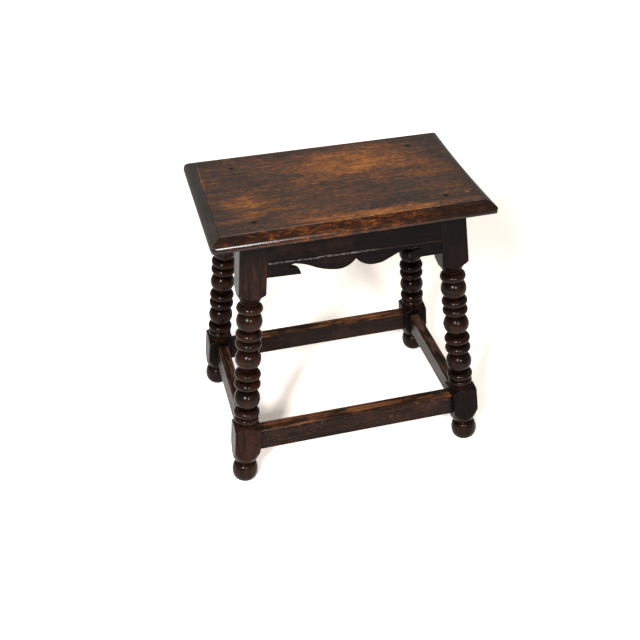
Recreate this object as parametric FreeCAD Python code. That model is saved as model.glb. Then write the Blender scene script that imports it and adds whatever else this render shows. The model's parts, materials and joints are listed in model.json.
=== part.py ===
import FreeCAD, Part
import math
import os
from FreeCAD import Matrix, Placement, Rotation, Vector

# Joint stool of oak: a moulded board seat on four splayed legs turned with rings and balls,
# tied by four shaped rails under the seat and four stretchers near the floor, all tenoned and pegged.
# Millimetres, +Z up, +X along the seat, front towards -Y, origin on the floor under the seat's centre.

# Seat board
seat_length = 460
seat_width = 288
seat_thickness = 20
seat_top = 480
moulding_width = 17
moulding_quirk = 2
moulding_fillet_height = 4
moulding_fillet_step = 1.5

# Legs: how far inside the seat's edges their axes meet its underside, and how much of each
# drop they run outwards
leg_square = 44
end_overhang = 70.5
side_overhang = 45.7
leg_slope_x_share = 0.1004
leg_slope_y_share = 0.0953
leg_flats = 20

# Turning: the upper block, its shoulder and the cove under it, measured down from the seat's
# underside, and the lower ones by their heights above the floor
upper_block_height = 94
upper_shoulder_height = 16
upper_cove_height = 5
lower_turning_height = 125
collar_height = 122.5
collar_half_height = 5.5
lower_ledge_height = 112.5
lower_block_top = 106
lower_block_bottom = 66
ledge_radius_share = 0.87
collar_radius_share = 0.93
lower_ledge_radius_share = 0.96
groove_radius_share = 0.59
cove_radius_share = 0.68
ring_half_height_share = 0.0355
ball_half_height_share = 0.0768
ring_chords = 3
ball_chords = 5
collar_chords = 3
# each entry: kind, centre as a share of the turned length from its lower end, and radius as a
# share of half the leg
turning_shares = (
    ("ring", 0.0495, 0.991),
    ("ball", 0.173, 0.991),
    ("ring", 0.302, 0.995),
    ("ring", 0.388, 0.995),
    ("ball", 0.522, 0.982),
    ("ring", 0.648, 0.973),
    ("ring", 0.728, 0.982),
    ("ball", 0.84, 0.968),
    ("ring", 0.947, 0.968),
)

# Bun foot, and the round shoulder that joins it to the lower block
bun_radius = 22
bun_neck_radius = 16
bun_centre_height = 15
bun_top_height = 31
bun_floor_radius = 13
lower_shoulder_shares = (0.15, 0.4, 0.7)
lower_shoulder_power_share = 0.8

# Rails under the seat
long_apron_height = 69
end_apron_height = 50
apron_thickness = 20
apron_inset = 1.5
bead_height = 44.5
bead_half_width = 1.6
quirk_half_width = 0.8
quirk_depth = 0.9

# Outline cut in the lower edge of a long rail, as shares of half its clear length and of the
# cut's rise: a cusp in the middle, a lobe, an arch and a hooked bracket on each side
cut_rise = 19.5
cusp_share = 0.72
lobe_drop_shares = (0.07, 0.27)
lobe_share = 0.19
swell_shares = (0.35, 0.15)
turn_shares = (0.5, 0.52)
crest_shares = (0.6, 0.86)
arch_shares = (0.685, 1)
notch_shares = (0.752, 0.92)
hook_crown_shares = (0.69, 0.67)
hook_tip_shares = (0.645, 0.04)
hook_under_shares = (0.7, 0)

# Stretchers
stretcher_bottom = 59.5
stretcher_height = 39
long_stretcher_thickness = 22.8
end_stretcher_thickness = 19.5
long_stretcher_inset = 12.5
end_stretcher_inset = 15.5
long_stretcher_wear = 6
end_stretcher_wear = 2.5

# Tenons and their mortises
tenon_thickness = 8
apron_tenon_length = 23
apron_tenon_behind_face = 7
long_stretcher_tenon_length = 23
end_stretcher_tenon_length = 13.5
tenon_shoulder = 4
tenon_haunch = 12
cheek_clearance = 0.2
end_clearance = 1
root_overlap = 6

# Pegs: riven to eight sides and a little tapered
peg_width = 7
peg_clearance = 0.05
peg_proud = 0.5
peg_taper_share = 0.86
peg_sides = 8
apron_peg_length = 26
stretcher_peg_length = 31
seat_peg_length = 44
apron_peg_from_shoulder = 6.5
stretcher_peg_from_shoulder = 7.5
apron_peg_shares = (0.2, 0.66)
end_apron_peg_shares = (0.28, 0.66)
seat_peg_from_axis = 4.5
front_seat_peg_from_axis = 0.3
back_seat_peg_from_axis = 10.3

half_leg = leg_square / 2
seat_underside = seat_top - seat_thickness
leg_axis_x = seat_length / 2 - end_overhang
leg_axis_y = seat_width / 2 - side_overhang
foot_x = leg_axis_x + leg_slope_x_share * seat_underside
foot_y = leg_axis_y + leg_slope_y_share * seat_underside
axis_stretch = math.sqrt(1 + leg_slope_x_share ** 2 + leg_slope_y_share ** 2)
upper_block_bottom = seat_underside - upper_block_height
upper_ledge_height = upper_block_bottom - upper_shoulder_height
upper_turning_height = upper_ledge_height - upper_cove_height
reach = 2 * seat_top
right_angle = math.pi / 2
mirror_x = Vector(1, 0, 0)
mirror_y = Vector(0, 1, 0)
centre = Vector(0, 0, 0)


def block(low, high):
    # a box between two opposite corners
    size = Vector(*high) - Vector(*low)
    return Part.makeBox(size.x, size.y, size.z, Vector(*low))


def placed(shape, placement):
    # a copy of the shape carried into the place's own directions
    moved = shape.copy()
    moved.Placement = placement.multiply(moved.Placement)
    return moved


def across_x(shape):
    # the same piece on the other end of the stool
    return shape.mirror(centre, mirror_x)


def across_y(shape):
    # the same piece on the other long side of the stool
    return shape.mirror(centre, mirror_y)


def leg_place():
    # front right leg: its own z runs up the axis, x points out of the end face, y points inwards
    up = Vector(-leg_slope_x_share, leg_slope_y_share, 1).normalize()
    out = Vector(1, 0, 0) - up * up.x
    out = out.normalize()
    inward = up.cross(out)
    matrix = Matrix(
        out.x, inward.x, up.x, foot_x,
        out.y, inward.y, up.y, -foot_y,
        out.z, inward.z, up.z, 0,
        0, 0, 0, 1,
    )
    return Placement(matrix)


def side_place(axis_y, slope, turn):
    # a side of the stool: x along it, y inwards from the plane of the leg axes, z up its slope
    lean = Rotation(Vector(1, 0, 0), -math.degrees(math.atan(slope)))
    side = Placement(Vector(0, -axis_y, 0), lean)
    return Placement(centre, Rotation(Vector(0, 0, 1), turn)).multiply(side)


leg_frame = leg_place()
front_frame = side_place(foot_y, leg_slope_y_share, 0)
right_frame = side_place(foot_x, leg_slope_x_share, 90)


def along_slope(height, outward, slope):
    # distance up a leaning side at which its face, this far outside the axes, is at the height
    stretch = math.sqrt(1 + slope ** 2)
    return height * stretch - outward * slope


def swell(low, high, root, crest, chords):
    # half an ellipse turned between two heights, as the radii at the ends of its chords
    middle = (low + high) / 2
    half = (high - low) / 2
    levels = []
    for step in range(chords + 1):
        angle = -right_angle + math.pi * step / chords
        levels.append((middle + half * math.sin(angle), root + (crest - root) * math.cos(angle)))
    return levels


def ball(low, high, root, crest, chords):
    # a ball turned between two heights, cut off above and below where it comes down to the root
    middle = (low + high) / 2
    ends = math.acos(root / crest)
    reach_up = (high - low) / 2 / math.sin(ends)
    levels = []
    for step in range(chords + 1):
        angle = ends * (2 * step / chords - 1)
        levels.append((middle + reach_up * math.sin(angle), crest * math.cos(angle)))
    return levels


def foot_levels(corner):
    # the bun foot up from the floor, its neck and the round shoulder of the lower block
    bun_half = bun_top_height - bun_centre_height
    bun_bottom = bun_centre_height - bun_half
    levels = [(-bun_centre_height, bun_floor_radius), (0, bun_floor_radius)]
    for height, radius in swell(bun_bottom, bun_top_height, bun_neck_radius, bun_radius, ball_chords):
        if height > 0 and radius > bun_floor_radius:
            levels.append((height, radius))
    rise = lower_block_bottom - bun_top_height
    for share in lower_shoulder_shares:
        spread = (corner - bun_neck_radius) * share ** lower_shoulder_power_share
        levels.append((bun_top_height + rise * share, bun_neck_radius + spread))
    return levels


def turning_levels():
    # heights and radii of the whole leg from the floor up
    corner = half_leg * math.sqrt(2) / math.cos(math.pi / leg_flats) + cheek_clearance
    groove = half_leg * groove_radius_share
    cove = half_leg * cove_radius_share
    length = upper_turning_height - lower_turning_height
    collar_bottom = collar_height - collar_half_height
    collar_top = collar_height + collar_half_height
    levels = foot_levels(corner)
    levels.append((lower_block_bottom, corner))
    levels.append((lower_block_top, corner))
    levels.append((lower_ledge_height, half_leg * lower_ledge_radius_share))
    levels += swell(collar_bottom, collar_top, cove, half_leg * collar_radius_share, collar_chords)
    for kind, centre_share, radius_share in turning_shares:
        middle = lower_turning_height + centre_share * length
        crest = half_leg * radius_share
        if kind == "ring":
            half = ring_half_height_share * length
            levels += swell(middle - half, middle + half, groove, crest, ring_chords)
        else:
            half = ball_half_height_share * length
            levels += ball(middle - half, middle + half, groove, crest, ball_chords)
    levels.append((upper_turning_height, cove))
    levels.append((upper_ledge_height, half_leg * ledge_radius_share))
    levels.append((upper_block_bottom, corner))
    levels.append((seat_top, corner))
    return levels


def turned_solid(levels):
    # a turning with flats all round, closed by a flat face at each end
    rings = []
    last = -reach
    for height, radius in levels:
        last = max(height, last + cheek_clearance)
        ring = []
        for step in range(leg_flats):
            angle = 2 * math.pi * (step + 0.5) / leg_flats
            ring.append(Vector(radius * math.cos(angle), radius * math.sin(angle), last * axis_stretch))
        rings.append(ring)
    return flat_sided(rings)


def flat_sided(rings):
    # a closed solid with flat sides between rings of corners that lie one above another
    count = len(rings[0])
    faces = []
    for low, high in zip(rings, rings[1:]):
        for step in range(count):
            after = (step + 1) % count
            corners = (low[step], low[after], high[after], high[step], low[step])
            faces.append(Part.Face(Part.makePolygon(corners)))
    for ring in (rings[0], rings[-1]):
        faces.append(Part.Face(Part.makePolygon(ring + [ring[0]])))
    solid = Part.Solid(Part.Shell(faces))
    if solid.Volume < 0:
        solid.reverse()
    return solid


def leg_slab(face, depth, whole):
    # the part of space around a leg that a tenon entering one inner face may fill
    near = -half_leg - root_overlap
    if face == "long":
        low = (near, -reach, -reach)
        high = (-half_leg + depth, reach, reach)
    else:
        low = (-reach, half_leg - depth, -reach)
        high = (reach, -near, reach)
    return placed(block(low, high), whole)


def beyond_shoulder(face):
    # everything past a leg's inner face, which ends the rails at their shoulders
    if face == "long":
        return placed(block((-half_leg, -reach, -reach), (reach, reach, reach)), leg_frame)
    return placed(block((-reach, -reach, -reach), (reach, half_leg, reach)), leg_frame)


def tenon_shape(frame, face, spans, depth, spare):
    # a tenon at the right-hand end of a side, or its mortise where spare is given
    (inner, outer), (low, high) = spans
    bar = placed(block((-reach, inner - spare, low - spare), (reach, outer + spare, high + spare)), frame)
    return bar.common(leg_slab(face, depth, leg_frame))


def cut_edges(half, low):
    # right half of the cut in a long rail's lower edge, from the middle cusp to the bracket
    def spot(shares):
        return Vector(half * shares[0], 0, low + cut_rise * shares[1])

    cusp = spot((0, cusp_share))
    lobe = spot((lobe_share, 0))
    turn = spot(turn_shares)
    arch = spot(arch_shares)
    notch = spot(notch_shares)
    tip = spot(hook_tip_shares)
    return [
        Part.Arc(cusp, spot(lobe_drop_shares), lobe).toShape(),
        Part.Arc(lobe, spot(swell_shares), turn).toShape(),
        Part.Arc(turn, spot(crest_shares), arch).toShape(),
        Part.makeLine(arch, notch),
        Part.Arc(notch, spot(hook_crown_shares), tip).toShape(),
        Part.makeLine(tip, spot(hook_under_shares)),
    ]


def long_apron_blank(face, low, high):
    # shaped rail in its side's own directions, running on into the legs
    half = foot_x - leg_slope_x_share * (seat_underside - long_apron_height) - half_leg
    right = cut_edges(half, low)
    left = [edge.mirror(centre, mirror_x) for edge in right]
    end = right[-1].Vertexes[-1].Point
    far = Vector(foot_x, 0, low)
    top = Vector(foot_x, 0, high)
    far_left = Vector(-foot_x, 0, low)
    top_left = Vector(-foot_x, 0, high)
    lines = [
        Part.makeLine(end, far),
        Part.makeLine(far, top),
        Part.makeLine(top, top_left),
        Part.makeLine(top_left, far_left),
        Part.makeLine(far_left, Vector(-end.x, 0, low)),
    ]
    wire = Part.Wire(Part.__sortEdges__(right + left + lines))
    blank = Part.Face(wire).extrude(Vector(0, apron_thickness, 0))
    blank.translate(Vector(0, face, 0))
    return blank


def bead_quirks(face, height, length):
    # the two V cuts along a rail's face that leave a small bead between them
    quirks = []
    for side in (-1, 1):
        middle = height + side * (bead_half_width + quirk_half_width)
        points = [
            Vector(-length, face - quirk_depth, middle - 2 * quirk_half_width),
            Vector(-length, face - quirk_depth, middle + 2 * quirk_half_width),
            Vector(-length, face + quirk_depth, middle),
        ]
        section = Part.Face(Part.makePolygon(points + [points[0]]))
        quirks.append(section.extrude(Vector(2 * length, 0, 0)))
    return quirks


def under_seat(shape):
    # everything below the seat board
    return shape.common(block((-reach, -reach, -reach), (reach, reach, seat_underside)))


def apron(long_side):
    # rail under the seat, with its tenon spans in the side's own directions
    slope = leg_slope_y_share if long_side else leg_slope_x_share
    height = long_apron_height if long_side else end_apron_height
    frame = front_frame if long_side else right_frame
    outward = half_leg - apron_inset
    face = -outward
    low = along_slope(seat_underside - height, outward, slope)
    high = along_slope(seat_top, outward, slope)
    if long_side:
        blank = long_apron_blank(face, low, high)
    else:
        blank = block((-foot_y, face, low), (foot_y, face + apron_thickness, high))
    quirks = bead_quirks(face, along_slope(seat_underside - bead_height, outward, slope), reach)
    rail = under_seat(placed(blank.cut(quirks), frame))
    thick = (-half_leg + apron_tenon_behind_face, -half_leg + apron_tenon_behind_face + tenon_thickness)
    tall = (low + tenon_shoulder, along_slope(seat_underside - tenon_haunch, outward, slope))
    return rail, (thick, tall)


def stretcher(long_side):
    # stretcher near the floor with its upper outer corner worn round, and its tenon spans
    slope = leg_slope_y_share if long_side else leg_slope_x_share
    frame = front_frame if long_side else right_frame
    inset = long_stretcher_inset if long_side else end_stretcher_inset
    thickness = long_stretcher_thickness if long_side else end_stretcher_thickness
    wear = long_stretcher_wear if long_side else end_stretcher_wear
    length = foot_x if long_side else foot_y
    outward = half_leg - inset
    face = -outward
    low = along_slope(stretcher_bottom, outward, slope)
    high = along_slope(stretcher_bottom + stretcher_height, outward, slope)
    worn = wear * (1 - math.sqrt(0.5))
    corners = [
        Vector(-length, face, low),
        Vector(-length, face, high - wear),
        Vector(-length, face + worn, high - worn),
        Vector(-length, face + wear, high),
        Vector(-length, face + thickness, high),
        Vector(-length, face + thickness, low),
    ]
    edges = [
        Part.makeLine(corners[0], corners[1]),
        Part.Arc(corners[1], corners[2], corners[3]).toShape(),
        Part.makeLine(corners[3], corners[4]),
        Part.makeLine(corners[4], corners[5]),
        Part.makeLine(corners[5], corners[0]),
    ]
    rail = placed(Part.Face(Part.Wire(edges)).extrude(Vector(2 * length, 0, 0)), frame)
    middle = face + thickness / 2
    thick = (middle - tenon_thickness / 2, middle + tenon_thickness / 2)
    tall = (low + tenon_shoulder, high - tenon_shoulder)
    return rail, (thick, tall)


def joined_rail(rail, tenon, mirrored, end):
    # shoulders cut at both legs and a tenon grown from each
    return rail.cut([end, mirrored(end)]).fuse([tenon, mirrored(tenon)]).removeSplitter()


def peg_shape(length, proud, spare):
    # eight-sided peg driven along +x from its own origin; with spare it is the peg's hole
    def section(distance, width):
        points = []
        for step in range(peg_sides):
            angle = 2 * math.pi * (step + 0.5) / peg_sides
            radius = width / 2 / math.cos(math.pi / peg_sides) + spare
            points.append(Vector(distance, radius * math.cos(angle), radius * math.sin(angle)))
        return points

    start = section(-proud - spare, peg_width)
    end = section(length + spare, peg_width * peg_taper_share)
    return flat_sided([start, end])


def leg_pegs(spare):
    # the pegs of the front right leg, keyed by rail, driven square to the leg's outer faces
    pegs = {}
    into_front = Placement(centre, Rotation(Vector(0, 0, 1), 90))
    into_end = Placement(centre, Rotation(Vector(0, 0, 1), 180))
    rows = (
        ("long_apron", long_apron_height, apron_peg_shares, apron_peg_length),
        ("end_apron", end_apron_height, end_apron_peg_shares, apron_peg_length),
        ("long_stretcher", stretcher_height, (0.5,), stretcher_peg_length),
        ("end_stretcher", stretcher_height, (0.5,), stretcher_peg_length),
    )
    for rail, height, shares, length in rows:
        bottom = stretcher_bottom if "stretcher" in rail else seat_underside - height
        margin = stretcher_peg_from_shoulder if "stretcher" in rail else apron_peg_from_shoulder
        for number, share in enumerate(shares):
            level = (bottom + share * height) * axis_stretch
            if rail.startswith("long"):
                spot = Placement(Vector(-half_leg + margin, -half_leg, level), into_front.Rotation)
            else:
                spot = Placement(Vector(half_leg, half_leg - margin, level), into_end.Rotation)
            shape = placed(placed(peg_shape(length, peg_proud, spare), spot), leg_frame)
            pegs[rail, number] = shape
    return pegs


def seat_peg(along, side, spare):
    # a peg driven down through the seat into the top of a leg
    down = Placement(Vector(along, side, seat_top), Rotation(Vector(0, 1, 0), 90))
    return placed(peg_shape(seat_peg_length, 0, spare), down)


def edge_profile(half):
    # one moulded edge of the seat seen along it: quirk, quarter round and small fillet
    inner = half - moulding_width
    shelf = seat_top - moulding_quirk
    foot = seat_underside + moulding_fillet_height
    width = moulding_width
    drop = shelf - foot
    bend = Vector(inner + width * math.sqrt(0.5), 0, foot + drop * math.sqrt(0.5))
    return [
        Part.makeLine(Vector(inner, 0, seat_top), Vector(inner, 0, shelf)),
        Part.Arc(Vector(inner, 0, shelf), bend, Vector(half, 0, foot)).toShape(),
        Part.makeLine(Vector(half, 0, foot), Vector(half - moulding_fillet_step, 0, foot)),
        Part.makeLine(
            Vector(half - moulding_fillet_step, 0, foot),
            Vector(half - moulding_fillet_step, 0, seat_underside),
        ),
    ]


def moulded_bar(half, other_half):
    # the seat's section with both edges moulded, drawn out across the seat
    right = edge_profile(half)
    left = [edge.mirror(centre, mirror_x) for edge in right]
    inner = half - moulding_width
    low = half - moulding_fillet_step
    lines = [
        Part.makeLine(Vector(-inner, 0, seat_top), Vector(inner, 0, seat_top)),
        Part.makeLine(Vector(-low, 0, seat_underside), Vector(low, 0, seat_underside)),
    ]
    face = Part.Face(Part.Wire(Part.__sortEdges__(right + left + lines)))
    bar = face.extrude(Vector(0, 2 * other_half, 0))
    bar.translate(Vector(0, -other_half, 0))
    return bar


def seat_board():
    # the two moulded sections meet in mitres at the corners
    half_length = seat_length / 2
    half_width = seat_width / 2
    long_edges = moulded_bar(half_width, half_length)
    long_edges.rotate(centre, Vector(0, 0, 1), 90)
    return moulded_bar(half_length, half_width).common(long_edges)


def leg_blank():
    # the turned outline kept square at its blocks, cut level with the floor and the seat
    turned = turned_solid(turning_levels())
    column = block((-half_leg, -half_leg, -reach), (half_leg, half_leg, reach))
    leg = placed(turned.common(column), leg_frame)
    return leg.common(block((-reach, -reach, 0), (reach, reach, seat_underside)))


pieces = {}
tools = []
rails = (
    ("long_apron", apron(True), "long", apron_tenon_length),
    ("end_apron", apron(False), "end", apron_tenon_length),
    ("long_stretcher", stretcher(True), "long", long_stretcher_tenon_length),
    ("end_stretcher", stretcher(False), "end", end_stretcher_tenon_length),
)
pegs = leg_pegs(0)
holes = leg_pegs(peg_clearance)
shaped = {}
for name, (rail, spans), face, depth in rails:
    frame = front_frame if face == "long" else right_frame
    mirrored = across_x if face == "long" else across_y
    tenon = tenon_shape(frame, face, spans, depth, 0)
    tools.append(tenon_shape(frame, face, spans, depth + end_clearance, cheek_clearance))
    bores = [hole for key, hole in holes.items() if key[0] == name]
    shape = joined_rail(rail, tenon, mirrored, beyond_shoulder(face))
    shaped[name] = shape.cut(bores + [mirrored(bore) for bore in bores])

pieces["apron_front"] = shaped["long_apron"]
pieces["apron_back"] = across_y(shaped["long_apron"])
pieces["apron_right"] = shaped["end_apron"]
pieces["apron_left"] = across_x(shaped["end_apron"])
pieces["stretcher_front"] = shaped["long_stretcher"]
pieces["stretcher_back"] = across_y(shaped["long_stretcher"])
pieces["stretcher_right"] = shaped["end_stretcher"]
pieces["stretcher_left"] = across_x(shaped["end_stretcher"])

front_leg = leg_blank().cut(tools + list(holes.values()))
corners = {
    "front_right": lambda shape: shape,
    "front_left": across_x,
    "back_right": across_y,
    "back_left": lambda shape: across_y(across_x(shape)),
}
seat = seat_board()
for corner, carry in corners.items():
    in_from_end = leg_axis_x - seat_peg_from_axis
    peg_x = in_from_end if corner.endswith("right") else -in_from_end
    if corner.startswith("front"):
        peg_y = front_seat_peg_from_axis - leg_axis_y
    else:
        peg_y = leg_axis_y - back_seat_peg_from_axis
    seat_hole = seat_peg(peg_x, peg_y, peg_clearance)
    pieces["leg_" + corner] = carry(front_leg).cut(seat_hole)
    pieces["seat_peg_" + corner] = seat_peg(peg_x, peg_y, 0)
    seat = seat.cut(seat_hole)
    for (rail, number), peg in pegs.items():
        level = ("_lower", "_upper")[number] if "apron" in rail else ""
        kind = rail.split("_")[1]
        side = corner.split("_")[0] if rail.startswith("long") else corner.split("_")[1]
        end = corner.split("_")[1] if rail.startswith("long") else corner.split("_")[0]
        pieces["peg_" + kind + "_" + side + "_" + end + level] = carry(peg)
pieces["seat_board"] = seat

os.makedirs("parts", exist_ok=True)
for name, shape in pieces.items():
    if shape.ShapeType == "Compound" and len(shape.Solids) == 1:
        shape = shape.Solids[0]
    shape.exportStep("parts/" + name + ".step")
    print(name, len(shape.Solids), "solid", round(shape.Volume), "mm3", "valid" if shape.isValid() else "not valid")
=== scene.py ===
import json
import math
import random

import bpy
from mathutils import Matrix, Vector, noise
from mathutils.geometry import tessellate_polygon


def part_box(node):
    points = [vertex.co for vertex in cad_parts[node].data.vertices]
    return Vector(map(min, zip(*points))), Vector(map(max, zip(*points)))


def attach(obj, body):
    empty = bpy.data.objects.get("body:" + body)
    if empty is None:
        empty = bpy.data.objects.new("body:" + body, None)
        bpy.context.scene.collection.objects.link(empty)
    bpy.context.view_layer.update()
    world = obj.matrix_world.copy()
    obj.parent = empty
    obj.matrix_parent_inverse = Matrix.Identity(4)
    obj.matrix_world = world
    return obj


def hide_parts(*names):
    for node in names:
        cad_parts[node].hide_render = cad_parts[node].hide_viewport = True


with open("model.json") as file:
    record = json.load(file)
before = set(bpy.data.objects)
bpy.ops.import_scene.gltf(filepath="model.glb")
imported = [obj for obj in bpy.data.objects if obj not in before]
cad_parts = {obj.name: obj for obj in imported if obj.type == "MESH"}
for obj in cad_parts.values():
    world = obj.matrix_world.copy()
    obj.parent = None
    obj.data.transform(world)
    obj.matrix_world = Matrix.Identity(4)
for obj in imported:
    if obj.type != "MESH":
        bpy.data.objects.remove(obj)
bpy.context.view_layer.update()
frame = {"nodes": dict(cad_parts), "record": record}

# Splay of the legs: how much of each drop they run outwards
slope_x_share = 0.1004
slope_y_share = 0.0953

# Turning of a leg: heights as shares of the leg's height, radii as shares of half its square
leg_square_share = 0.0972
corner_reach_share = 1.44
block_top_share = 0.7957
upper_ledge_share = 0.7735
ledge_radius_share = 0.92
upper_neck_share = 0.7609
upper_neck_radius_share = 0.8
upper_turning_share = 0.75
cove_radius_share = 0.68
lower_turning_share = 0.2717
collar_share = 0.2663
collar_half_share = 0.012
collar_radius_share = 0.93
lower_ledge_share = 0.2446
lower_ledge_radius_share = 0.96
lower_block_top_share = 0.2304
lower_block_bottom_share = 0.1495
foot_neck_share = 0.0728
foot_neck_radius_share = 0.67
lower_shoulder_power = 0.8
bun_centre_share = 0.036
bun_half_share = 0.0372
bun_radius_share = 1.0
bun_bottom_share = 0.62
groove_radius_share = 0.59
ring_half_share = 0.01698
ball_half_share = 0.03673
turning_shares = (
    ("ring", 0.2954, 0.991),
    ("ball", 0.3545, 0.991),
    ("ring", 0.4161, 0.995),
    ("ring", 0.4573, 0.995),
    ("ball", 0.5214, 0.982),
    ("ring", 0.5816, 0.973),
    ("ring", 0.6199, 0.982),
    ("ball", 0.6735, 0.968),
    ("ring", 0.7246, 0.968),
)
beyond_share = 2
corner_power = 26
corner_soft_share = 0.03
wobble_share = 0.006
wobble_twist = 40
around = 96
fine_step_share = 0.0013
coarse_step_share = 0.016
last_level_share = 1.02
leg_crease = math.radians(40)

# Painted shade on the turning: the radius above which no shade is painted, and how much shade is painted on
# the upper shoulder
unshaded_radius_share = 0.88
shoulder_shade_share = 0.85

# The seat's moulded edge and corners, in shares of the board's thickness
moulding_width_share = 0.85
quirk_share = 0.1
quirk_run_share = 0.045
edge_crown_share = 0.04
foot_share = 0.2
foot_round_shares = (0.01, 0.03)
foot_drop_share = 0.04
foot_step_share = 0.075
corner_round_share = 0.45
edge_power = 1.6
edge_steps = 18
seat_columns = 120
seat_rows = 76
seat_crease = math.radians(32)

# Unevenness of the top: waves per metre, and heights and fade in shares of the board's thickness
dish_waves = (7, 16)
dish_layer = 3
dish_swing_share = 0.025
dish_drop_share = 0.02
dish_fade_share = 0.75

# The seat out of square, in shares of half its length and half its width
end_bow_share = 0.015
end_short_share = 0.004
end_bow_power = 4
back_taper_share = 0.012

# Long aprons, in shares of half their clear length, of their height and of half the leg's square
cut_rise_share = 0.275
cusp_shares = (0, 0.72)
outline_arcs = (
    ((0.07, 0.25), (0.19, -0.03)),
    ((0.35, 0.14), (0.49, 0.53)),
    ((0.6, 0.86), (0.685, 1)),
    ((0.71, 0.95), (0.733, 0.88)),
    ((0.747, 0.78), (0.733, 0.69)),
    ((0.655, 0.55), (0.622, 0)),
    ((0.8, 0.03), (1.05, 0.06)),
)
arc_steps = 14
rail_inset_share = 0.068
rail_thickness_share = 0.91
fret_thickness_share = 0.33
fret_top_share = 1.02
front_rail_tilt = 0.015
front_rail_lift = 0.2
lift_from_share = 0.3
lift_reach_share = 0.36
bead_level_share = 0.372
bead_half_share = 0.0226
bead_proud_share = 0.55
bead_steps = 8

# Camera fitted to the photograph, and the lens for its square frame
camera_place = (-0.3773, -1.3778, 1.2271)
camera_right = (0.9670407, -0.2542854, -0.0130850)
camera_up = (0.1588315, 0.5622710, 0.8115565)
camera_lens = 55.05

# Soft upright lamps: name, direction from the stool, width and height in metres, and watts
lamp_distance = 3.0
lamps = (
    ("window_left", (-0.431, -0.681, 0.592), (0.4, 0.64), 82),
    ("window_right", (0.035, -0.865, 0.5), (0.28, 0.42), 36),
)

# The studio: the world's strength and tint, and the floor's colour for light, for gloss and for the camera
white = (1.0, 1.0, 1.0)
world_strength = 0.38
world_tint = (1.0, 0.985, 0.97)
floor_colour = (0.88, 0.86, 0.84)
floor_to_gloss = (1.12, 1.07, 1.02)
floor_to_camera = (2.1, 1.92, 1.76)
floor_reach = 30
white_from_share = 2

# Tones of the oak: dark, brown and worn
warm_leg_tones = ((0.007, 0.0038, 0.003), (0.038, 0.014, 0.0085), (0.045, 0.016, 0.008))
leg_tones = ((0.0025, 0.0018, 0.0016), (0.008, 0.0038, 0.003), (0.012, 0.005, 0.0035))
apron_tones = ((0.002, 0.0016, 0.0014), (0.006, 0.0032, 0.0025), (0.015, 0.0065, 0.0045))
rail_tones = ((0.006, 0.003, 0.0024), (0.022, 0.0092, 0.0064), (0.032, 0.0125, 0.0075))
peg_tones = ((0.002, 0.0015, 0.0013), (0.008, 0.0042, 0.0033), (0.012, 0.0055, 0.004))
seat_peg_tones = ((0.006, 0.004, 0.003), (0.018, 0.011, 0.008), (0.022, 0.013, 0.009))
under_tones = ((0.01, 0.006, 0.004), (0.03, 0.017, 0.01), (0.035, 0.02, 0.012))
end_edge_tones = ((0.013, 0.0095, 0.0072), (0.034, 0.0265, 0.0195), (0.042, 0.03, 0.021))

# Noises: scale, detail, roughness and warp
band_noise = (150, 5, 0.65, 0.3)
pore_noise = (700, 3, 0.7, 0)
cloud_noise = (22, 5, 0.6, 0)
rub_noise = (48, 4, 0.65, 0)
fleck_noise = (300, 4, 0.75, 0)
sparkle_noise = (420, 3, 0.7, 0)
mottle_noise = (60, 4, 0.6, 0)
noise_middle = 0.5

# How far a noise is drawn out along the grain
band_grain_share = 0.06
pore_grain_share = 0.03
plain_grain_share = 1.0
rub_grain_share = 0.4
sparkle_grain_share = 0.3
mottle_grain_share = 0.5

# Shifts that keep one noise apart from another
rub_shift = (2, 1, 4)
fleck_shift = (5, 2, 1)
mottle_shift = (2, 3, 1)

# Plain oak: the levels of its bands, patches and pores, its gloss and the pores' part in its bump
band_levels = (0.38, 0.64)
patch_range = (0.48, 0.72)
pore_stops = ((0.38, (0.3, 0.28, 0.26)), (0.52, white))
pore_cover_share = 0.6
oak_gloss_swing = 0.3
pore_height_share = 0.6

# Bumps: strength, and depth as a share of the board's thickness
oak_bump = (0.25, 0.025)
seat_bump = (0.3, 0.04)
edge_bump = (0.005, 0.02)

# Wear of the stretchers
worn_arris_share = 0.035
arris_start_share = 1 / 3
streaky_range = (0.36, 0.62)
rub_range = (0.34, 0.56)
fleck_range = (0.53, 0.74)
fleck_share = 0.9
unrubbed_colour = (0.014, 0.0065, 0.0045)
long_rubbed_colour = (0.23, 0.082, 0.03)
end_rubbed_colour = (0.12, 0.06, 0.036)

# Marks of the long aprons, their reach in halves of the bead, and the eye in each scroll: painted shade in
# the quirks beside the bead and in the eyes, rubbed wear and a painted highlight on the bead's crest
quirk_shade_reach = 1.8
bead_crest_reach = 0.7
bead_soft_share = 0.5
crest_range = (0.3, 0.6)
sparkle_range = (0.4, 0.66)
bead_highlight_soft_share = 1 / 3
painted_quirk_shade_colour = (0.002, 0.0014, 0.0012)
bead_brown_colour = (0.02, 0.0105, 0.0075)
painted_bead_highlight_colour = (0.22, 0.19, 0.185)
eye_shares = (0.7, 0.33)
eye_half_share = 1.2
painted_eye_shade_colour = (0.001, 0.0008, 0.0008)

# Marks of the legs: a painted shadow of the seat on their tops, painted shade in the grooves, and the
# turning's redder, glossier tone
seat_shadow_top_share = 0.99
seat_shadow_low_share = 0.84
mottle_levels = (0.35, 0.66)
mottle_dark = (0.004, 0.002, 0.0016)
warm_mottle = (0.03, 0.01, 0.0038)
dark_mottle = (0.024, 0.0075, 0.0028)
warm_leg_level = 0.075
dark_leg_level = 0.07
turned_cover_share = 0.8
groove_shade_cover_share = 0.85
turned_level = 0.06
turned_rough_share = -0.3
painted_groove_shade_colour = (0.0014, 0.0009, 0.0008)
painted_seat_shadow_colour = (0.0035, 0.0025, 0.002)

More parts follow.
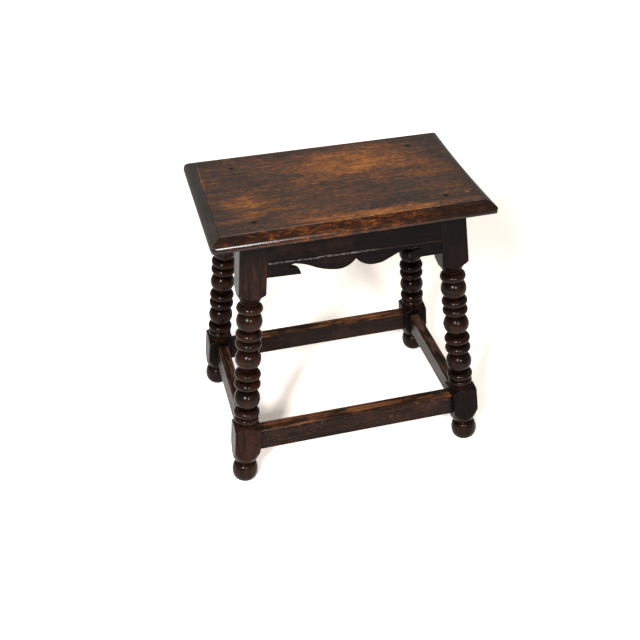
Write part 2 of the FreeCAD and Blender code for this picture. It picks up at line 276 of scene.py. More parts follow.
# Worn patches of the top: middle, reach and strength, in shares of half the seat
worn_patches = (
    ((0.1, 0.42), (0.78, 0.48), 0.46),
    ((-0.64, -0.22), (0.34, 0.2), 0.35),
    ((-0.25, 0.3), (0.42, 0.34), 0.36),
    ((0.35, 0.0), (0.6, 0.42), 0.34),
    ((0.25, -0.82), (0.78, 0.08), 0.44),
    ((-0.915, 0.4), (0.012, 0.45), 0.32),
    ((0.838, -0.66), (0.018, 0.02), 0.4),
    ((-0.04, 0.0), (0.98, 1.2), 0.265),
)
patch_edge = 1.7

# The top's streaks, fine grain, specks and clouds: share along the grain, noise and any shift, and weights
seat_noises = (
    (0.13, (85, 6, 0.68, 0.4)),
    (0.05, (330, 4, 0.7, 0), (1, 2, 0)),
    (0.4, (320, 4, 0.75, 0), (3, 1, 0)),
    (0.5, (16, 5, 0.62, 0.6), (4, 2, 0)),
)
seat_weights = (0.5, 0.75, 1.4, 1.1)

# The top: colours by wear, gloss by its clouds, bump, and the dark ring round each peg
seat_stops = (
    (0.0, (0.034, 0.023, 0.018)),
    (0.22, (0.062, 0.036, 0.026)),
    (0.42, (0.14, 0.054, 0.022)),
    (0.76, (0.38, 0.135, 0.034)),
)
seat_gloss = (0.35, 0.2)
seat_bump_weights = (0.5, 0.8)
peg_ring_shares = (1, 0.6)
peg_ring_cover_share = 0.7
peg_ring_colour = (0.02, 0.013, 0.01)

# The front moulding: its streaks and clouds as above, colours, gloss, and where and how much it glows
edge_noises = (
    (0.25, (260, 5, 0.7, 0.6)),
    (0.6, (70, 5, 0.68, 0.8), (1, 5, 2)),
)
edge_streak_share = 0.55
edge_stops = (
    (0.42, (0.008, 0.0025, 0.001)),
    (0.54, (0.031, 0.0078, 0.0017)),
    (0.7, (0.24, 0.066, 0.008)),
)
edge_gloss = (0.04, 0.165)
glow_shares = (-0.45, 0.2, 0.75)
glow_lift = (0.12, -0.09)

# Axes, and the seat's material slots
along_x, along_y, along_z = range(3)
top_slot, long_edge_slot, end_edge_slot, under_slot = range(4)

# The mixing node's sockets: factor, two colours and result, and where a ramp's new stop starts
mix_inputs = (0, 6, 7)
mix_output = 2
new_stop_share = 0.5

seat_low, seat_high = [Vector(corner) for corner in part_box("seat_board")]
seat_thickness = seat_high.z - seat_low.z
leg_height = seat_low.z
half_leg = leg_height * leg_square_share / 2
apron_low, apron_high = [Vector(corner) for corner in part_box("apron_front")]
apron_height = apron_high.z - apron_low.z
bead_level = apron_low.z + apron_height * bead_level_share
bead_half = apron_height * bead_half_share
cut_rise = apron_height * cut_rise_share
eye_half = bead_half * eye_half_share
stretcher_high = Vector(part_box("stretcher_front")[1])
stretcher_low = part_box("stretcher_front")[0][2]
stretcher_top = stretcher_high.z
fleck_from = stretcher_high.y * fleck_share
worn_arris = stretcher_top * worn_arris_share
full_arris = worn_arris * arris_start_share
mounts = frame["record"]["mounts"]
feet = {mount["name"]: Vector(mount["pos_m"]) for mount in mounts if mount["name"].startswith("foot")}
clear_half = feet["foot_front_right"].x - slope_x_share * apron_low.z - half_leg
cut_low = apron_low.z + bead_half
eye_place = (clear_half * eye_shares[0], cut_low + cut_rise * eye_shares[1])


def new_material(name, rough, level):
    # a new material with its roughness and specular level, its node tree and its shader
    material = bpy.data.materials.new(name)
    material.use_nodes = True
    shader = material.node_tree.nodes["Principled BSDF"]
    shader.inputs["Roughness"].default_value = rough
    shader.inputs["Specular IOR Level"].default_value = level
    return material, material.node_tree, shader


def node(tree, kind, **values):
    # a shader node with its inputs and settings
    made = tree.nodes.new(kind)
    for key, value in values.items():
        name = key.replace("_", " ")
        if name in made.inputs:
            made.inputs[name].default_value = value
        else:
            setattr(made, key, value)
    return made


def feed(tree, value, socket):
    # links a socket to another one, or sets a plain number or colour on it
    if isinstance(value, bpy.types.NodeSocket):
        tree.links.new(value, socket)
    elif isinstance(value, tuple):
        socket.default_value = (*value, 1)
    else:
        socket.default_value = value


def grain_along(axis, share):
    # scale of the coordinates that draws a noise out along one axis
    stretch = [1.0, 1.0, 1.0]
    stretch[axis] = share
    return stretch


def noise_layer(tree, stretch, texture, shift=(0, 0, 0)):
    # a noise in object coordinates, from its scale, detail, roughness and warp
    coordinates = node(tree, "ShaderNodeTexCoord")
    mapping = node(tree, "ShaderNodeMapping", Scale=stretch, Location=shift)
    tree.links.new(coordinates.outputs["Object"], mapping.inputs["Vector"])
    scale, detail, rough, warp = texture
    made = node(tree, "ShaderNodeTexNoise", Scale=scale, Detail=detail, Roughness=rough, Distortion=warp)
    tree.links.new(mapping.outputs["Vector"], made.inputs["Vector"])
    return made.outputs["Fac"]


def ramp_of(tree, factor, stops):
    # a colour ramp from positions and colours
    made = node(tree, "ShaderNodeValToRGB")
    band = made.color_ramp
    while len(band.elements) < len(stops):
        band.elements.new(new_stop_share)
    for element, (position, colour) in zip(band.elements, stops):
        element.position = position
        element.color = (*colour, 1)
    tree.links.new(factor, made.inputs["Fac"])
    return made.outputs["Color"]


def mixed(tree, factor, first, second, blend="MIX"):
    # mixes two colours, each a socket or a plain colour
    made = tree.nodes.new("ShaderNodeMix")
    made.data_type = "RGBA"
    made.blend_type = blend
    for value, index in zip((factor, first, second), mix_inputs):
        feed(tree, value, made.inputs[index])
    return made.outputs[mix_output]


def arithmetic(tree, operation, *values):
    # one step of arithmetic on sockets or plain numbers
    made = tree.nodes.new("ShaderNodeMath")
    made.operation = operation
    for value, socket in zip(values, made.inputs):
        feed(tree, value, socket)
    return made.outputs[0]


def weighted(tree, sockets, weights):
    # the sum of sockets, each times its weight
    total = arithmetic(tree, "MULTIPLY", sockets[0], weights[0])
    for socket, weight in zip(sockets[1:], weights[1:]):
        total = arithmetic(tree, "ADD", total, arithmetic(tree, "MULTIPLY", socket, weight))
    return total


def bump_into(tree, shader, height, bump):
    # roughens the shader's surface by a height
    strength, depth_share = bump
    made = node(tree, "ShaderNodeBump", Strength=strength, Distance=seat_thickness * depth_share)
    tree.links.new(height, made.inputs["Height"])
    tree.links.new(made.outputs["Normal"], shader.inputs["Normal"])


def smooth_range(tree, value, low, high):
    # 0 up to low, 1 from high on, smooth between
    made = tree.nodes.new("ShaderNodeMapRange")
    made.interpolation_type = "SMOOTHSTEP"
    tree.links.new(value, made.inputs["Value"])
    made.inputs["From Min"].default_value = low
    made.inputs["From Max"].default_value = high
    return made.outputs["Result"]


def object_parts(tree):
    # the object's own x, y and z
    coordinates = node(tree, "ShaderNodeTexCoord")
    parts = node(tree, "ShaderNodeSeparateXYZ")
    tree.links.new(coordinates.outputs["Object"], parts.inputs[0])
    return parts.outputs


def band_mask(tree, value, low, high, soft):
    # 1 between two levels, falling to 0 over a soft width on both sides
    rise = smooth_range(tree, value, low - soft, low)
    fall = smooth_range(tree, value, high + soft, high)
    return arithmetic(tree, "MULTIPLY", rise, fall)


def spot_mask(tree, first, second, middle, halves):
    # 1 at the middle of an ellipse, falling to 0 a little outside it
    dx = arithmetic(tree, "DIVIDE", arithmetic(tree, "SUBTRACT", first, middle[0]), halves[0])
    dy = arithmetic(tree, "DIVIDE", arithmetic(tree, "SUBTRACT", second, middle[1]), halves[1])
    square = arithmetic(tree, "MULTIPLY_ADD", dy, dy, arithmetic(tree, "MULTIPLY", dx, dx))
    return smooth_range(tree, square, patch_edge, 0)


def oak(name, along, tones, rough, level, shift=0, marks=None):
    # waxed old oak with its grain along one axis, and the piece's own marks
    material, tree, shader = new_material(name, rough, level)
    dark, brown, worn = tones
    moved = (shift, shift, shift)
    bands = noise_layer(tree, grain_along(along, band_grain_share), band_noise, moved)
    pores = noise_layer(tree, grain_along(along, pore_grain_share), pore_noise, moved)
    clouds = noise_layer(tree, grain_along(along, plain_grain_share), cloud_noise, moved)
    colour = ramp_of(tree, bands, tuple(zip(band_levels, (dark, brown))))
    colour = mixed(tree, smooth_range(tree, clouds, *patch_range), colour, worn)
    gloss = arithmetic(tree, "MULTIPLY_ADD", clouds, oak_gloss_swing, rough - oak_gloss_swing / 2)
    tree.links.new(gloss, shader.inputs["Roughness"])
    if marks is not None:
        colour = marks(tree, colour, bands)
    colour = mixed(tree, pore_cover_share, colour, ramp_of(tree, pores, pore_stops), "MULTIPLY")
    tree.links.new(colour, shader.inputs["Base Color"])
    height = weighted(tree, (pores, bands), (pore_height_share, 1 - pore_height_share))
    bump_into(tree, shader, height, oak_bump)
    return material


def stretcher_wear(along, rubbed):
    # marks for a stretcher: its top and arris rubbed brown in patches, and flecks on the front one's face
    def marks(tree, colour, bands):
        parts = object_parts(tree)
        stretch = grain_along(along, rub_grain_share)
        top = smooth_range(tree, parts[2], stretcher_top - worn_arris, stretcher_top - full_arris)
        patch = smooth_range(tree, noise_layer(tree, stretch, rub_noise, rub_shift), *rub_range)
        specks = smooth_range(tree, noise_layer(tree, stretch, fleck_noise, fleck_shift), *fleck_range)
        flecks = arithmetic(tree, "MULTIPLY", specks, patch)
        upper = smooth_range(tree, parts[2], stretcher_low, stretcher_top)
        side = arithmetic(tree, "MULTIPLY", upper, smooth_range(tree, parts[1], 0, fleck_from))
        colour = mixed(tree, arithmetic(tree, "MULTIPLY", flecks, side), colour, rubbed)
        worn = arithmetic(tree, "MULTIPLY", smooth_range(tree, bands, *streaky_range), patch)
        return mixed(tree, top, colour, mixed(tree, worn, unrubbed_colour, rubbed))

    return marks


def bead_band(tree, level, reach):
    # 1 on the bead and a reach to both sides of its middle, in halves of the bead
    return band_mask(
        tree,
        level,
        bead_level - reach * bead_half,
        bead_level + reach * bead_half,
        bead_half * bead_soft_share,
    )


def apron_marks(tree, colour, bands):
    # the bead's rubbed crest with a painted highlight on its left half, painted shade in its quirks and
    # painted shade in the eye of each scroll
    parts = object_parts(tree)
    level = arithmetic(tree, "MULTIPLY_ADD", parts[0], front_rail_tilt, parts[2])
    # painted shade of the quirks beside the bead, which are not cut
    colour = mixed(tree, bead_band(tree, level, quirk_shade_reach), colour, painted_quirk_shade_colour)
    rubs = smooth_range(tree, bands, *crest_range)
    crest = arithmetic(tree, "MULTIPLY", bead_band(tree, level, bead_crest_reach), rubs)
    # a painted highlight in pale sparkles on the bead's crest over its left half; the brown of the crest is
    # rubbed wear
    painted_glint = band_mask(tree, parts[0], -clear_half, 0, clear_half * bead_highlight_soft_share)
    sparkle = noise_layer(tree, grain_along(along_x, sparkle_grain_share), sparkle_noise)
    painted_glint = arithmetic(tree, "MULTIPLY", painted_glint, smooth_range(tree, sparkle, *sparkle_range))
    colour = mixed(tree, crest, colour, mixed(tree, painted_glint, bead_brown_colour, painted_bead_highlight_colour))
    across = arithmetic(tree, "ABSOLUTE", parts[0])
    # painted shade in the eye of each scroll, which is not cut as a hollow
    eye = spot_mask(tree, across, parts[2], eye_place, (eye_half, eye_half))
    return mixed(tree, eye, colour, painted_eye_shade_colour)


def turned_marks(lit, plain_level):
    # marks for a leg: redder and glossier where it is turned, with painted shade and less gloss in its
    # grooves, and a painted shadow of the seat at its top
    def marks(tree, colour, bands):
        parts = object_parts(tree)
        turned = node(tree, "ShaderNodeAttribute", attribute_name="turned").outputs["Fac"]
        groove_shade = node(tree, "ShaderNodeAttribute", attribute_name="groove_shade").outputs["Fac"]
        mottle = noise_layer(tree, grain_along(along_z, mottle_grain_share), mottle_noise, mottle_shift)
        smooth = ramp_of(tree, mottle, tuple(zip(mottle_levels, (mottle_dark, lit))))
        colour = mixed(tree, arithmetic(tree, "MULTIPLY", turned, turned_cover_share), colour, smooth)
        # painted shade in the grooves and under the upper shoulder, where the turning sits in shade; the
        # gloss is taken out there too
        groove_shade_cover = arithmetic(tree, "MULTIPLY", groove_shade, groove_shade_cover_share)
        colour = mixed(tree, groove_shade_cover, colour, painted_groove_shade_colour)
        level = arithmetic(tree, "MULTIPLY_ADD", turned, turned_level, plain_level)
        level = arithmetic(tree, "MULTIPLY", level, arithmetic(tree, "SUBTRACT", 1, groove_shade))
        shader = tree.nodes["Principled BSDF"]
        tree.links.new(level, shader.inputs["Specular IOR Level"])
        rough = shader.inputs["Roughness"].links[0].from_socket
        smoother = arithmetic(tree, "MULTIPLY_ADD", turned, turned_rough_share, 1)
        tree.links.new(arithmetic(tree, "MULTIPLY", rough, smoother), shader.inputs["Roughness"])
        # painted shadow of the seat's overhang, darkest at the top of the leg
        under = smooth_range(tree, parts[2], leg_height * seat_shadow_top_share, leg_height * seat_shadow_low_share)
        return mixed(tree, under, painted_seat_shadow_colour, colour)

    return marks


def seat_wear(tree, parts):
    # how far the wax is worn off the top, patch by patch
    wear = 0
    for middle, halves, strength in worn_patches:
        place = (middle[0] * seat_high.x, middle[1] * seat_high.y)
        reach = (halves[0] * seat_high.x, halves[1] * seat_high.y)
        part = arithmetic(tree, "MULTIPLY", spot_mask(tree, parts[0], parts[1], place, reach), strength)
        wear = arithmetic(tree, "MAXIMUM", wear, part)
    return wear


def peg_rings(tree, parts, colour):
    # darkens the top round each of the seat's pegs
    for name in frame["nodes"]:
        if name.startswith("seat_peg"):
            low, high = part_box(name)
            middle = ((low[0] + high[0]) / 2, (low[1] + high[1]) / 2)
            reach = [(high[0] - low[0]) * share for share in peg_ring_shares]
            ring = spot_mask(tree, parts[0], parts[1], middle, reach)
            cover = arithmetic(tree, "MULTIPLY", ring, peg_ring_cover_share)
            colour = mixed(tree, cover, colour, peg_ring_colour)
    return colour


def seat_top_oak():
    # dark waxed top with the wax worn through to orange brown in fine streaks
    material, tree, shader = new_material("seat_oak", rough=0.34, level=0.14)
    layers = [noise_layer(tree, grain_along(along_x, share), *rest) for share, *rest in seat_noises]
    streaks, fine, _, clouds = layers
    parts = object_parts(tree)
    amount = seat_wear(tree, parts)
    for layer, weight in zip(layers, seat_weights):
        centred = arithmetic(tree, "SUBTRACT", layer, noise_middle)
        amount = arithmetic(tree, "MULTIPLY_ADD", centred, weight, amount)
    colour = peg_rings(tree, parts, ramp_of(tree, amount, seat_stops))
    tree.links.new(colour, shader.inputs["Base Color"])
    tree.links.new(arithmetic(tree, "MULTIPLY_ADD", clouds, *seat_gloss), shader.inputs["Roughness"])
    bump_into(tree, shader, weighted(tree, (fine, streaks), seat_bump_weights), seat_bump)
    return material


def moulding_oak():
    # red-brown waxed moulding, mottled dark, brighter left of its middle
    material, tree, shader = new_material("moulding_oak", rough=0.2, level=0.32)
    streaks, clouds = [noise_layer(tree, grain_along(along_x, share), *rest) for share, *rest in edge_noises]
    amount = weighted(tree, (streaks, clouds), (edge_streak_share, 1 - edge_streak_share))
    glow = band_mask(tree, object_parts(tree)[0], *[seat_high.x * share for share in glow_shares])
    amount = arithmetic(tree, "ADD", amount, arithmetic(tree, "MULTIPLY_ADD", glow, *glow_lift))
    tree.links.new(ramp_of(tree, amount, edge_stops), shader.inputs["Base Color"])
    tree.links.new(arithmetic(tree, "MULTIPLY_ADD", clouds, *edge_gloss), shader.inputs["Roughness"])
    bump_into(tree, shader, clouds, edge_bump)
    return material


warm_marks = turned_marks(warm_mottle, warm_leg_level)
dark_marks = turned_marks(dark_mottle, dark_leg_level)
long_wear = stretcher_wear(along_x, long_rubbed_colour)
end_wear = stretcher_wear(along_y, end_rubbed_colour)
warm_leg_oak = oak("warm_leg_oak", along_z, warm_leg_tones, rough=0.23, level=0.16, marks=warm_marks)
leg_oak = oak("leg_oak", along_z, leg_tones, rough=0.27, level=0.12, shift=1.7, marks=dark_marks)
apron_oak = oak("apron_oak", along_x, apron_tones, rough=0.32, level=0.065, shift=3, marks=apron_marks)
end_oak = oak("end_apron_oak", along_y, apron_tones, rough=0.28, level=0.1, shift=5)
long_rail_oak = oak("stretcher_oak", along_x, rail_tones, rough=0.26, level=0.11, shift=7, marks=long_wear)
end_rail_oak = oak("end_stretcher_oak", along_y, rail_tones, rough=0.26, level=0.11, shift=9, marks=end_wear)
peg_oak = oak("peg_oak", along_z, peg_tones, rough=0.35, level=0.1, shift=11)
seat_peg_oak = oak("seat_peg_oak", along_z, seat_peg_tones, rough=0.4, level=0.1, shift=17)
under_oak = oak("under_oak", along_x, under_tones, rough=0.6, level=0.1, shift=13)
end_edge_oak = oak("end_edge_oak", along_y, end_edge_tones, rough=0.36, level=0.4, shift=15)
seat_oak = seat_top_oak()
front_edge_oak = moulding_oak()


def half_ellipse(middle, half, root, crest, height):
    # radius of a turned swell at a height, or nothing outside it
    offset = (height - middle) / half
    if abs(offset) >= 1:
        return 0
    return root + (crest - root) * math.sqrt(1 - offset * offset)


def ball(middle, half, root, crest, height):
    # radius of a turned ball at a height, or nothing outside it
    offset = (height - middle) / half
    if abs(offset) >= 1:
        return 0
    return crest * math.sqrt(1 - offset * offset * (1 - (root / crest) ** 2))


def between(share, points):
    # value at a share along a row of points
    for (low, first), (high, second) in zip(points, points[1:]):
        if low <= share <= high:
            return first + (second - first) * (share - low) / (high - low)
    return 0


def foot_radius(share):
    # radius of the bun foot and of the round shoulder between it and the lower block
    if share <= bun_centre_share:
        bun = half_ellipse(bun_centre_share, bun_centre_share, bun_bottom_share, bun_radius_share, share)
        return max(bun, bun_bottom_share)
    rise = max(share - foot_neck_share, 0) / (lower_block_bottom_share - foot_neck_share)
    spread = (corner_reach_share - foot_neck_radius_share) * rise ** lower_shoulder_power
    bun = half_ellipse(bun_centre_share, bun_half_share, foot_neck_radius_share, bun_radius_share, share)
    return max(foot_neck_radius_share + spread, bun)


def turned_radius(share):
    # radius of the turning at a share of the leg's height, as a share of half its square
    if share < lower_block_bottom_share:
        return foot_radius(share)
    swell = 0
    for kind, centre, crest in turning_shares:
        form, half = (half_ellipse, ring_half_share) if kind == "ring" else (ball, ball_half_share)
        swell = max(swell, form(centre, half, groove_radius_share, crest, share))
    if swell > 0:
        return max(groove_radius_share, swell)
    radius = between(share, (
        (lower_block_bottom_share, corner_reach_share),
        (lower_block_top_share, corner_reach_share),
        (lower_ledge_share, lower_ledge_radius_share),
        (collar_share - collar_half_share, cove_radius_share),
        (collar_share, cove_radius_share),
        (lower_turning_share, groove_radius_share),
        (upper_turning_share, cove_radius_share),
        (upper_neck_share, upper_neck_radius_share),
        (upper_ledge_share, ledge_radius_share),
        (block_top_share, corner_reach_share),
        (beyond_share, corner_reach_share),
    ))
    collar = half_ellipse(collar_share, collar_half_share, cove_radius_share, collar_radius_share, share)
    return max(radius, collar)


def leg_levels():
    # heights at which the leg's outline is drawn, close together where it is turned
    levels = [0]
    while levels[-1] < last_level_share:
        share = levels[-1]
        block = block_top_share + coarse_step_share < share
        block = block or lower_block_bottom_share < share < lower_block_top_share - coarse_step_share
        levels.append(share + (coarse_step_share if block else fine_step_share))
    return levels


def groove_shade_depth(share, radius):
    # how much shade is painted on the leg at a height: 1 in the grooves, 0 on the crests
    if upper_neck_share < share < upper_ledge_share:
        return shoulder_shade_share
    depth = (unshaded_radius_share - radius) / (unshaded_radius_share - groove_radius_share)
    return min(max(depth, 0), 1)


def square_reach(angle):
    # distance from the leg's axis to its square side in one direction, with tight round corners
    reach = abs(math.cos(angle)) ** corner_power + abs(math.sin(angle)) ** corner_power
    return half_leg * reach ** (-1 / corner_power)


def soft_least(first, second):
    # the lesser of two of a leg's radii, blended where they are close
    soft = half_leg * corner_soft_share
    gap = max(soft - abs(first - second), 0) / soft
    return min(first, second) - gap * gap * soft / 4


def on_the_level(place, up):
    # a point of the leg, moved along its axis to the floor or the seat's underside if it is past them
    past = min(place.z, 0) + max(place.z - leg_height, 0)
    return place - up * (past / up.z)


def leg_mesh(name, foot, signs):
    # one smooth turned leg along its splayed axis
    up = Vector((-slope_x_share * signs[0], -slope_y_share * signs[1], 1))
    stretch = up.length
    up.normalize()
    out = Vector((signs[0], 0, 0))
    out = (out - up * up.dot(out)).normalized()
    side = up.cross(out)
    phase = random.Random(name).uniform(0, 2 * math.pi)
    points = []
    groove_shades = []
    polish = []
    levels = leg_levels()
    for share in levels:
        radius = turned_radius(share)
        groove_shades += [groove_shade_depth(share, radius)] * around
        polish += [1 if radius <= 1 else 0] * around
        middle = foot + up * (share * leg_height * stretch)
        for step in range(around):
            angle = 2 * math.pi * step / around
            wobble = 1 + wobble_share * math.cos(2 * angle + phase + wobble_twist * share)
            length = soft_least(radius * half_leg * wobble, square_reach(angle))
            place = middle + out * (math.cos(angle) * length) + side * (math.sin(angle) * length)
            points.append(on_the_level(place, up))
    faces = []
    for level in range(len(levels) - 1):
        for step in range(around):
            after = (step + 1) % around
            low = level * around
            high = low + around
            faces.append((low + step, low + after, high + after, high + step))
    faces.append(tuple(reversed(range(around))))
    faces.append(tuple(range((len(levels) - 1) * around, len(levels) * around)))
    if side.cross(out).dot(up) > 0:
        faces = [tuple(reversed(face)) for face in faces]
    mesh = bpy.data.meshes.new(name)
    mesh.from_pydata(points, [], faces)
    # the painted groove shade and the turned parts, stored on the points for the leg's material
    for kind, values in (("groove_shade", groove_shades), ("turned", polish)):
        mesh.attributes.new(kind, "FLOAT", "POINT").data.foreach_set("value", values)
    mesh.update()
    mesh.shade_smooth()
    mesh.set_sharp_from_angle(angle=leg_crease)
    return mesh


def add_object(name, mesh, *materials):
    # a piece of the scene with its materials
    made = bpy.data.objects.new(name, mesh)
    bpy.context.scene.collection.objects.link(made)
    for material in materials:
        made.data.materials.append(material)
    return made


for side, sign_y in (("front", -1), ("back", 1)):
    for end, sign_x in (("left", -1), ("right", 1)):
        corner = side + "_" + end
        leg_finish = warm_leg_oak if corner == "front_left" else leg_oak
        turned_leg = leg_mesh("leg_" + corner, feet["foot_" + corner], (sign_x, sign_y))
        leg = add_object("turned_leg_" + corner, turned_leg, leg_finish)
        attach(leg, "root")
        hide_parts("leg_" + corner)


def edge_outline():
    # the seat's edge from the top's inner line down, as outward and upward distances
    width = seat_thickness * moulding_width_share
    shelf = seat_thickness * (1 - quirk_share)
    foot = seat_thickness * foot_share
    crown = shelf + seat_thickness * edge_crown_share - foot
    outline = [(-width - seat_thickness * quirk_run_share, seat_thickness), (-width, shelf)]
    for step in range(edge_steps + 1):
        angle = math.pi / 2 * (1 - step / edge_steps)
        outward = width * (abs(math.cos(angle)) ** (2 / edge_power) - 1)
        outline.append((outward, foot + crown * abs(math.sin(angle)) ** (2 / edge_power)))
    round_in, round_down = [seat_thickness * share for share in foot_round_shares]
    step_in = seat_thickness * foot_step_share
    outline.append((-round_in, foot - round_down))
    outline.append((-step_in, foot - seat_thickness * foot_drop_share))
    outline.append((-step_in, 0))
    return outline


def seat_grid(half_x, half_y):
    # points and faces of the worn top, and the indices of the points round its rim
    across = seat_columns + 1
    points = []
    for row in range(seat_rows + 1):
        for column in range(across):
            x = half_x * (2 * column / seat_columns - 1)
            y = half_y * (2 * row / seat_rows - 1)
            wave = noise.noise(Vector((x * dish_waves[0], y * dish_waves[1], dish_layer)))
            dip = seat_thickness * (wave * dish_swing_share - dish_drop_share)
            edge = min(half_x - abs(x), half_y - abs(y))
            fade = min(edge / (seat_thickness * dish_fade_share), 1)
            points.append(Vector((x, y, seat_high.z + dip * fade)))
    faces = []
    for row in range(seat_rows):
        for column in range(seat_columns):
            low = row * across + column
            faces.append((low, low + 1, low + across + 1, low + across))
    rim = list(range(seat_columns))
    rim += [row * across + seat_columns for row in range(seat_rows)]
    rim += [seat_rows * across + column for column in range(seat_columns, 0, -1)]
    rim += [row * across for row in range(seat_rows, 0, -1)]
    return points, faces, rim


def out_of_square(point, half_x, half_y):
    # rounds the board's corners, and bows and tapers it as age and the saw have left it
    corner_round = seat_thickness * corner_round_share
    past_x = max(abs(point.x) - half_x + corner_round, 0)
    past_y = max(abs(point.y) - half_y + corner_round, 0)
    past = math.hypot(past_x, past_y)
    if past > corner_round:
        point.x -= math.copysign(past_x * (1 - corner_round / past), point.x)
        point.y -= math.copysign(past_y * (1 - corner_round / past), point.y)
    along = point.x / half_x
    across = point.y / half_y
    if along > 0:
        short = end_short_share + end_bow_share * (1 - across * across)
        point.x -= half_x * short * along ** end_bow_power
    if across > 0:
        point.y -= half_y * back_taper_share * across * (1 + along) / 2


def seat_mesh():
    # the moulded board: a worn top, moulded edges mitred at the corners and a flat underside
    outline = edge_outline()
    half_x = (seat_high.x - seat_low.x) / 2
    half_y = (seat_high.y - seat_low.y) / 2
    top_x = half_x + outline[0][0]
    top_y = half_y + outline[0][0]
    points, faces, rim = seat_grid(top_x, top_y)
    slots = [top_slot] * len(faces)
    ring = rim
    for outward, height in outline[1:]:
        after = []
        for index in rim:
            base = points[index]
            after.append(len(points))
            x = base.x * (half_x + outward) / top_x
            y = base.y * (half_y + outward) / top_y
            points.append(Vector((x, y, seat_low.z + height)))
        for step in range(len(ring)):
            following = (step + 1) % len(ring)
            faces.append((ring[step], after[step], after[following], ring[following]))
            back_step = step - seat_columns - seat_rows
            long_side = step < seat_columns or 0 <= back_step < seat_columns
            edge_slot = long_edge_slot if long_side else end_edge_slot
            slots.append(top_slot if ring is rim else edge_slot)
        ring = after
    faces.append(tuple(ring))
    slots.append(under_slot)
    for point in points:
        out_of_square(point, half_x, half_y)
    mesh = bpy.data.meshes.new("seat")
    mesh.from_pydata(points, [], faces)
    for face, slot in zip(mesh.polygons, slots):
        face.material_index = slot
    mesh.update()
    mesh.shade_smooth()
    mesh.set_sharp_from_angle(angle=seat_crease)
    return mesh


seat = add_object("moulded_seat", seat_mesh(), seat_oak, front_edge_oak, end_edge_oak, under_oak)
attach(seat, "root")
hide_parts("seat_board")


def arc_through(first, middle, last):
    # points of the arc through three points of a plane, without the first
    (ax, ay), (bx, by), (cx, cy) = first, middle, last
    cross = 2 * ((bx - ax) * (cy - ay) - (by - ay) * (cx - ax))
    ab = (bx - ax) ** 2 + (by - ay) ** 2
    ac = (cx - ax) ** 2 + (cy - ay) ** 2
    centre_x = ax + ((cy - ay) * ab - (by - ay) * ac) / cross
    centre_y = ay + ((bx - ax) * ac - (cx - ax) * ab) / cross
    start = math.atan2(ay - centre_y, ax - centre_x)
    turn = (math.atan2(cy - centre_y, cx - centre_x) - start) % (2 * math.pi)
    past = (math.atan2(by - centre_y, bx - centre_x) - start) % (2 * math.pi)
    if past > turn:
        turn -= 2 * math.pi
    radius = math.hypot(ax - centre_x, ay - centre_y)
    points = []
    for step in range(1, arc_steps + 1):
        angle = start + turn * step / arc_steps
        points.append((centre_x + radius * math.cos(angle), centre_y + radius * math.sin(angle)))
    return points


def rail_outline():
    # the cut lower edge of a long apron from its left end to its right
    def spot(shares):
        return clear_half * shares[0], cut_low + cut_rise * shares[1]

    right = [spot(cusp_shares)]
    for middle, last in outline_arcs:
        right += arc_through(right[-1], spot(middle), spot(last))
    return [(-x, z) for x, z in reversed(right[1:])] + right


def slab(points, faces, outline, front, back):
    # adds a board with the given outline between two depths, each a function of the height
    first = len(points)
    count = len(outline)
    points += [Vector((x, front(z), z)) for x, z in outline]
    points += [Vector((x, back(z), z)) for x, z in outline]
    for triangle in tessellate_polygon([[Vector((x, z, 0)) for x, z in outline]]):
        faces.append(tuple(first + index for index in triangle))
        faces.append(tuple(first + count + index for index in reversed(triangle)))
    for index in range(count):
        after = (index + 1) % count
        faces.append((first + index, first + after, first + count + after, first + count + index))


def bead_strip(points, faces, face, reach):
    # adds the half-round bead that runs along a rail
    first = len(points)
    for end in (-reach, reach):
        for step in range(bead_steps + 1):
            angle = math.pi * step / bead_steps
            height = bead_level + bead_half * math.cos(angle)
            proud = bead_half * bead_proud_share * math.sin(angle)
            points.append(Vector((end, face(height) - proud, height)))
    count = bead_steps + 1
    for step in range(count):
        after = (step + 1) % count
        faces.append((first + step, first + after, first + count + after, first + count + step))
    faces.append(tuple(first + step for step in reversed(range(count))))
    faces.append(tuple(first + count + step for step in range(count)))


def long_apron(name, mirror, tilt, lift):
    # a shaped rail leaning with its legs: a full board above, fretted thinner below
    def face(height):
        leg_middle = feet["foot_front_right"].y + slope_y_share * height
        return leg_middle - half_leg * (1 - rail_inset_share)

    def full_back(height):
        return face(height) + half_leg * rail_thickness_share

    def fret_back(height):
        return face(height) + half_leg * rail_thickness_share * fret_thickness_share

    reach = clear_half * outline_arcs[-1][1][0]
    fret_top = cut_low + cut_rise * fret_top_share
    points = []
    faces = []
    slab(points, faces, rail_outline() + [(reach, fret_top), (-reach, fret_top)], face, fret_back)
    corners = [(-reach, fret_top), (reach, fret_top), (reach, seat_low.z), (-reach, seat_low.z)]
    slab(points, faces, corners, face, full_back)
    bead_strip(points, faces, face, reach)
    for point in points:
        across = (point.x / clear_half - lift_from_share) / lift_reach_share
        if 0 < across < 1 and point.z < fret_top:
            point.z += lift * cut_rise * math.sin(math.pi * across)
        if point.z < seat_low.z - bead_half:
            point.z -= tilt * point.x
        point.y *= mirror
    if mirror < 0:
        faces = [tuple(reversed(one)) for one in faces]
    mesh = bpy.data.meshes.new(name)
    mesh.from_pydata(points, [], faces)
    mesh.update()
    return mesh


for side, mirror, tilt, lift in (("front", 1, front_rail_tilt, front_rail_lift), ("back", -1, 0, 0)):
    rail = add_object("shaped_apron_" + side, long_apron("apron_" + side, mirror, tilt, lift), apron_oak)
    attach(rail, "root")
    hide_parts("apron_" + side)


def finish_of(name):
    # the material for a node that keeps its own shape
    if name.startswith("seat_peg"):
        return seat_peg_oak
    if "peg" in name:
        return peg_oak
    if name.startswith("stretcher"):
        return long_rail_oak if name.endswith(("front", "back")) else end_rail_oak
    return end_oak


for name, piece in frame["nodes"].items():
    if name.startswith(("leg", "seat_board", "apron_front", "apron_back")):
        continue
    for slot in piece.material_slots:
        slot.material = finish_of(name)


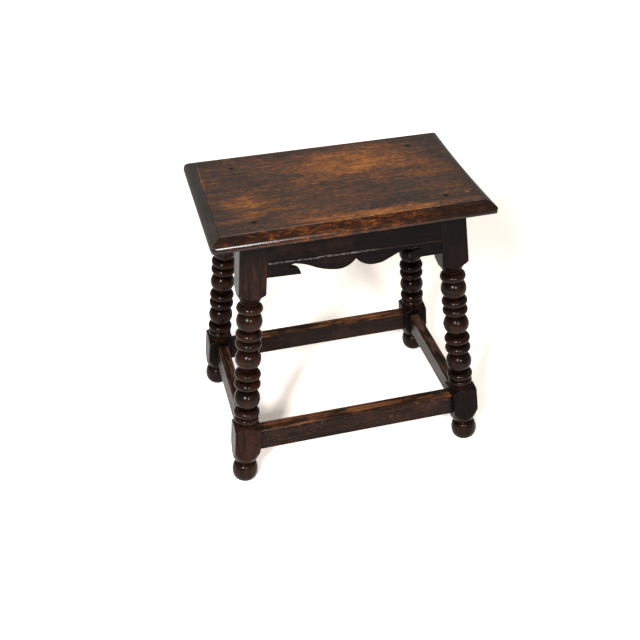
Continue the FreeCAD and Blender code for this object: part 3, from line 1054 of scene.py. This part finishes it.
def floor_material():
    # pale floor that shows the stool's soft shadow and is white to the camera
    material, tree, shader = new_material("pale_floor", rough=0.7, level=0.1)
    rays = node(tree, "ShaderNodeLightPath")
    seen = rays.outputs["Is Camera Ray"]
    lit = mixed(tree, rays.outputs["Is Glossy Ray"], floor_colour, floor_to_gloss)
    tree.links.new(mixed(tree, seen, lit, floor_to_camera), shader.inputs["Base Color"])
    coordinates = node(tree, "ShaderNodeTexCoord")
    distance = node(tree, "ShaderNodeVectorMath", operation="LENGTH")
    tree.links.new(coordinates.outputs["Object"], distance.inputs[0])
    white_from = leg_height * white_from_share
    far = smooth_range(tree, distance.outputs["Value"], white_from, 2 * white_from)
    feed(tree, white, shader.inputs["Emission Color"])
    tree.links.new(arithmetic(tree, "MULTIPLY", far, seen), shader.inputs["Emission Strength"])
    return material


floor_mesh = bpy.data.meshes.new("floor")
floor_corners = [(-1, -1), (1, -1), (1, 1), (-1, 1)]
floor_mesh.from_pydata([(floor_reach * x, floor_reach * y, 0) for x, y in floor_corners], [], [(0, 1, 2, 3)])
floor = add_object("floor", floor_mesh, floor_material())


def studio_world():
    # an even pale surround that the camera sees as white
    world = bpy.data.worlds.new("studio")
    world.use_nodes = True
    tree = world.node_tree
    sky = tree.nodes["Background"]
    seen = node(tree, "ShaderNodeLightPath").outputs["Is Camera Ray"]
    strength = arithmetic(tree, "MULTIPLY_ADD", seen, 1 - world_strength, world_strength)
    tree.links.new(strength, sky.inputs["Strength"])
    tree.links.new(mixed(tree, seen, world_tint, white), sky.inputs["Color"])
    return world


def area_lamp(name, direction, size, power):
    # an upright soft lamp that shines at the stool from one direction
    light = bpy.data.lights.new(name, "AREA")
    light.shape = "RECTANGLE"
    light.size, light.size_y = size
    light.energy = power
    lamp = bpy.data.objects.new(name, light)
    bpy.context.scene.collection.objects.link(lamp)
    aim = Vector(direction).normalized()
    lamp.location = Vector((0, 0, leg_height / 2)) + aim * lamp_distance
    lamp.rotation_euler = aim.to_track_quat("Z", "Y").to_euler()


def add_camera():
    # the camera that was fitted to the photograph
    camera_data = bpy.data.cameras.new("camera")
    camera_data.lens = camera_lens
    camera = bpy.data.objects.new("camera", camera_data)
    bpy.context.scene.collection.objects.link(camera)
    right = Vector(camera_right)
    top = Vector(camera_up)
    matrix = Matrix((right, top, right.cross(top))).transposed().to_4x4()
    matrix.translation = Vector(camera_place)
    camera.matrix_world = matrix
    return camera


bpy.context.scene.world = studio_world()
for name, direction, size, power in lamps:
    area_lamp(name, direction, size, power)
bpy.context.scene.camera = add_camera()
bpy.context.scene.view_settings.view_transform = "Standard"
